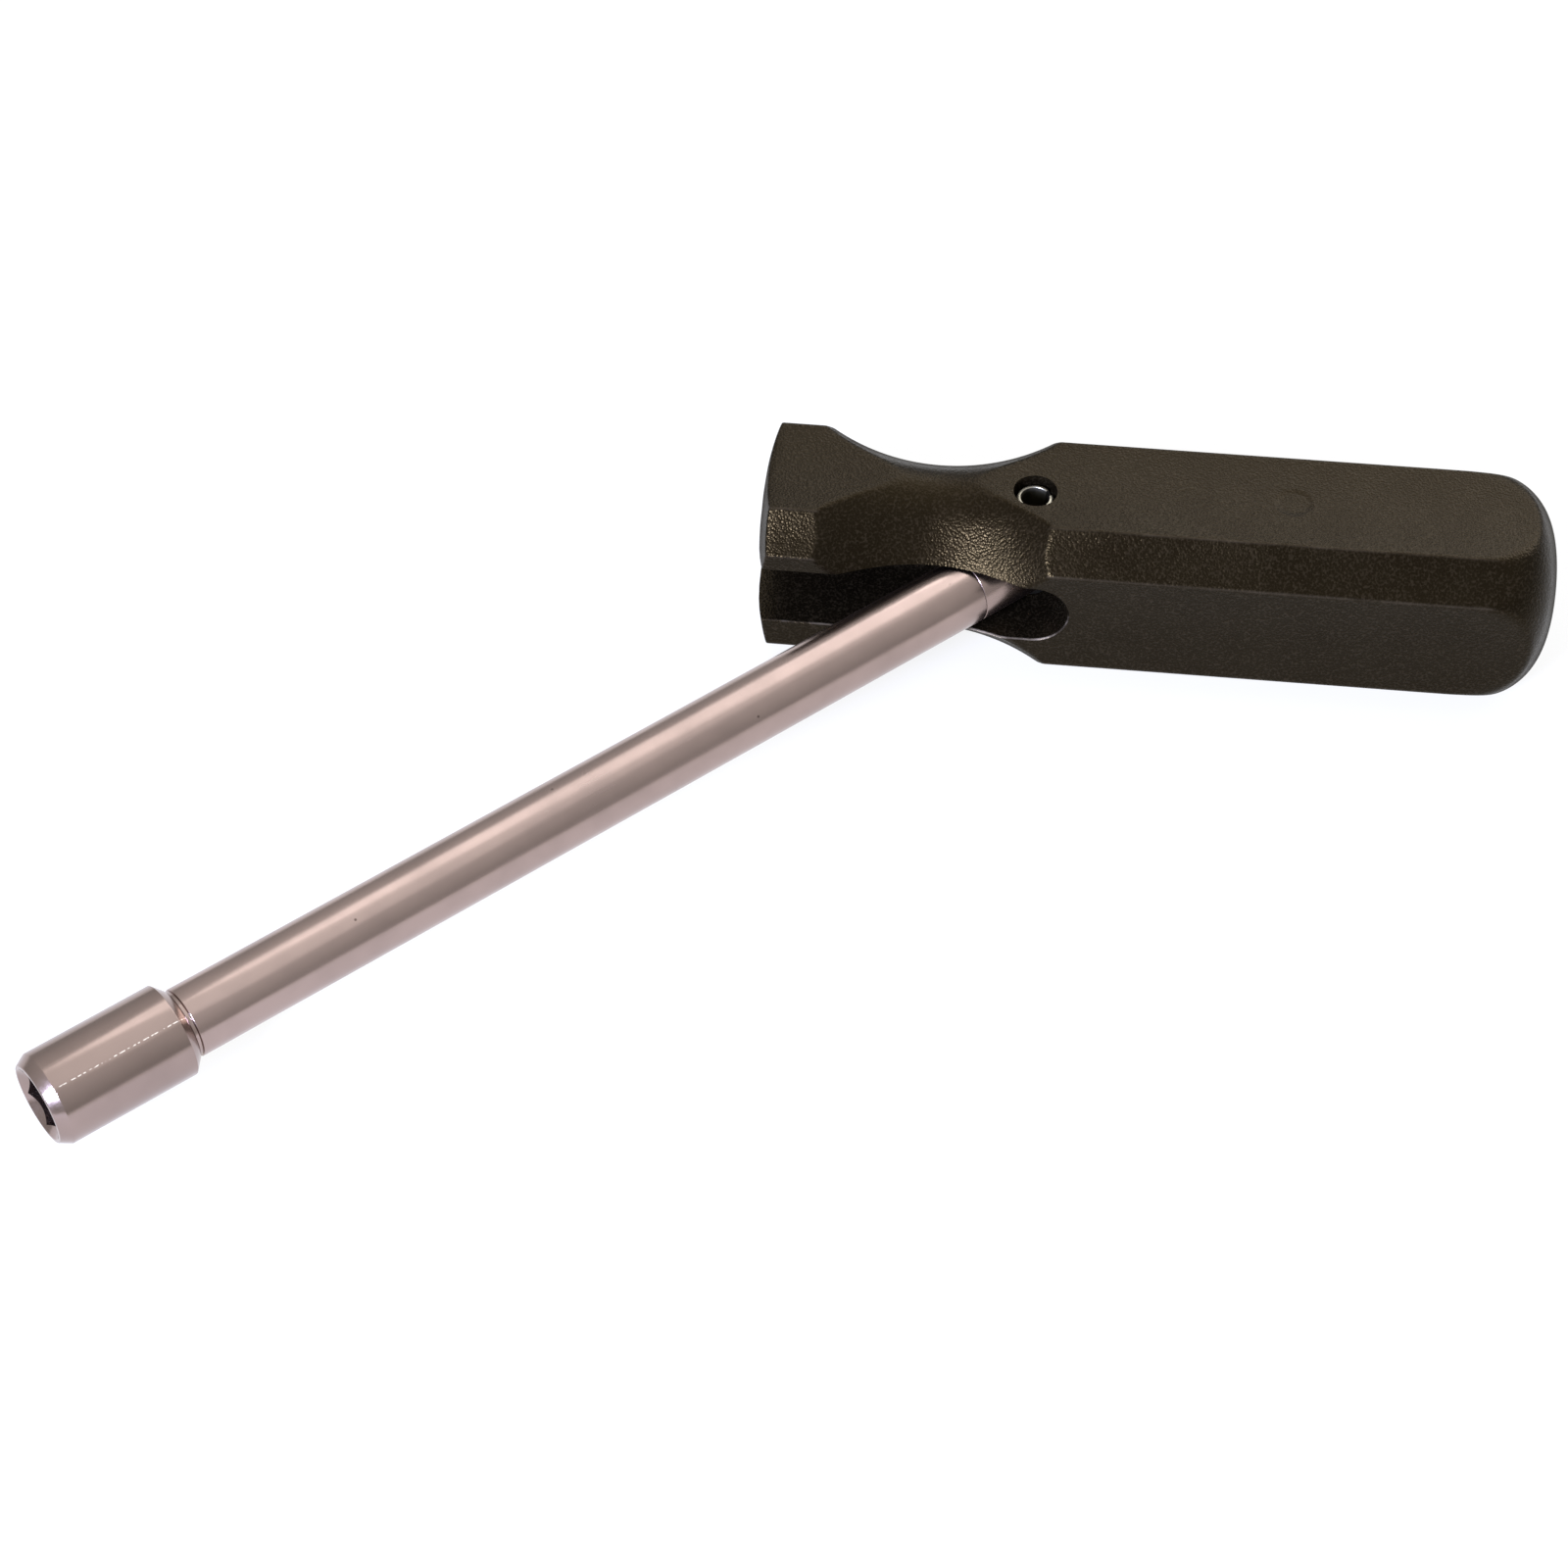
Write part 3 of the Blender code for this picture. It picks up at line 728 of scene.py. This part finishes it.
def steel(name, colour, roughness, specks, scratched=False):
    """Steel with turning marks, faint smears, dark specks, any stored painted shade in a bore, and maybe a
    scratch.
    """
    material, tree, shader, place = new_finish(name)
    turning = noise(tree, stretched(tree, place, TURNING_STRETCH), TURNING_SCALE, 2.0)
    drawing = noise(tree, stretched(tree, place, DRAWING_STRETCH), DRAWING_SCALE, 2.0)
    smear = noise(tree, place, SMEAR_SCALE, 3.0, 0.6)
    dots = cells(tree, place, STEEL_SPECK_SCALE)
    darker = tuple(c * SMEAR_DARKENING for c in colour)
    base = mix_colour(tree, spread(tree, smear, 0.35, 0.7, 0.0, 1.0), colour, darker)
    dotted = mix_colour(tree, spread(tree, dots, 0.03, 0.06, specks, 0.0), base, STEEL_SPECK)
    if scratched:
        dotted = mix_colour(tree, scratch_line(tree, place), dotted, SCRATCH_COLOUR)
    # Painted shade: the stored mark darkens the inside of the pin's bore
    bore_shade = add_node(tree, "ShaderNodeAttribute", attribute_name="bore_shade").outputs["Fac"]
    tree.links.new(mix_colour(tree, bore_shade, dotted, BORE_SHADE_COLOUR), shader.inputs["Base Color"])
    rough = maths(tree, 'ADD', spread(tree, smear, 0.3, 0.7, roughness - 0.03, roughness + 0.04),
                  spread(tree, drawing, 0.3, 0.7, -0.02, 0.03))
    tree.links.new(rough, shader.inputs["Roughness"])
    shader.inputs["Metallic"].default_value = 1.0
    fine = maths(tree, 'ADD', turning, drawing)
    bump = add_node(tree, "ShaderNodeBump",
                    {"Height": fine, "Strength": TURNING_STRENGTH, "Distance": TURNING_HEIGHT})
    tree.links.new(bump.outputs["Normal"], shader.inputs["Normal"])
    return material


def dress(thing, body, node, material):
    """Puts a finish on a piece, which then rides on its body and stands for its CAD node."""
    thing.data.transform(thing.matrix_world)
    thing.matrix_world = Matrix.Identity(4)
    thing.data.materials.clear()
    thing.data.materials.append(material)
    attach(thing, body)
    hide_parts(node)


# Stage

def make_floor():
    """A wide white floor that keeps a soft shadow."""
    shape = bmesh.new()
    bmesh.ops.create_grid(shape, x_segments=8, y_segments=8, size=FLOOR_HALF_SIDE)
    floor = make_object("floor", shape, Matrix.Translation((0.0, 0.0, cad_box[0].z)))
    material = bpy.data.materials.new("white_floor")
    material.use_nodes = True
    tree = material.node_tree
    shader = tree.nodes["Principled BSDF"]
    shader.inputs["Base Color"].default_value = FLOOR_COLOUR
    shader.inputs["Roughness"].default_value = FLOOR_ROUGHNESS
    shader.inputs["Specular IOR Level"].default_value = 0.0
    white = add_node(tree, "ShaderNodeEmission", {"Color": WHITE, "Strength": 1.0})
    path = add_node(tree, "ShaderNodeLightPath")
    seen = maths(tree, 'MAXIMUM', path.outputs["Is Camera Ray"], path.outputs["Is Glossy Ray"])
    seen = maths(tree, 'MAXIMUM', seen, path.outputs["Is Transmission Ray"])
    share = maths(tree, 'MULTIPLY', seen, FLOOR_WHITENESS)
    both = add_node(tree, "ShaderNodeMixShader", {0: share, 1: shader.outputs[0], 2: white.outputs[0]})
    tree.links.new(both.outputs[0], tree.nodes["Material Output"].inputs["Surface"])
    floor.data.materials.append(material)


def make_lamp(name, place, turn, size, power, colour=LAMP_WHITE):
    """A soft lamp, turned from facing straight down."""
    lamp = bpy.data.lights.new(name, 'AREA')
    lamp.shape = 'RECTANGLE'
    lamp.size, lamp.size_y = size
    lamp.energy = power
    lamp.color = colour
    thing = bpy.data.objects.new(name, lamp)
    thing.location = place
    thing.rotation_euler = turn
    thing.visible_camera = False
    bpy.context.collection.objects.link(thing)


def make_sky():
    """A plain grey surround, dimmer near the horizon than overhead."""
    world = bpy.data.worlds.new("studio")
    world.use_nodes = True
    tree = world.node_tree
    place = add_node(tree, "ShaderNodeTexCoord").outputs["Generated"]
    height = add_node(tree, "ShaderNodeSeparateXYZ", {0: place}).outputs["Z"]
    background = tree.nodes["Background"]
    strength = spread(tree, height, 0.0, 1.0, SKY_AT_HORIZON, SKY_OVERHEAD)
    tree.links.new(strength, background.inputs["Strength"])
    background.inputs["Color"].default_value = WHITE
    bpy.context.scene.world = world


def make_camera():
    """A camera at the photograph's viewing angle."""
    camera = bpy.data.cameras.new("camera")
    camera.lens = CAMERA_LENS
    thing = bpy.data.objects.new("camera", camera)
    thing.location = CAMERA_PLACE
    thing.rotation_euler = CAMERA_TURN
    bpy.context.collection.objects.link(thing)
    bpy.context.scene.camera = thing


make_camera()
make_floor()
make_sky()
key_turn = (LIGHT_TARGET - KEY_PLACE).to_track_quat('-Z', 'Y').to_euler()
make_lamp("key", KEY_PLACE, key_turn, KEY_SIZE, KEY_POWER, KEY_COLOUR)
make_lamp("top", TOP_PLACE, (0.0, 0.0, -FOLD_ANGLE), TOP_SIZE, TOP_POWER)
make_lamp("fill", FILL_PLACE, (0.0, 0.0, -FOLD_ANGLE), FILL_SIZE, FILL_POWER)
make_lamp("back", BACK_PLACE, (0.0, 0.0, -FOLD_ANGLE), BACK_SIZE, BACK_POWER)

dress(make_handle(), "handle", "handle", plastic())
dress(make_pin(), "handle", "pivot_pin", steel("pin_steel", PIN_STEEL, PIN_ROUGHNESS, 0.0))
dress(make_tang(), "shank", "pivot_tang", steel("tang_nickel", NICKEL, TANG_ROUGHNESS, 0.0))
dress(make_bar(), "shank", "shank",
      steel("satin_nickel", NICKEL, BAR_ROUGHNESS, BAR_SPECKS))
dress(make_socket(), "shank", "socket",
      steel("bright_nickel", BRIGHT_NICKEL, SOCKET_ROUGHNESS, SOCKET_SPECKS, scratched=True))

bpy.context.scene.view_settings.view_transform = 'Standard'
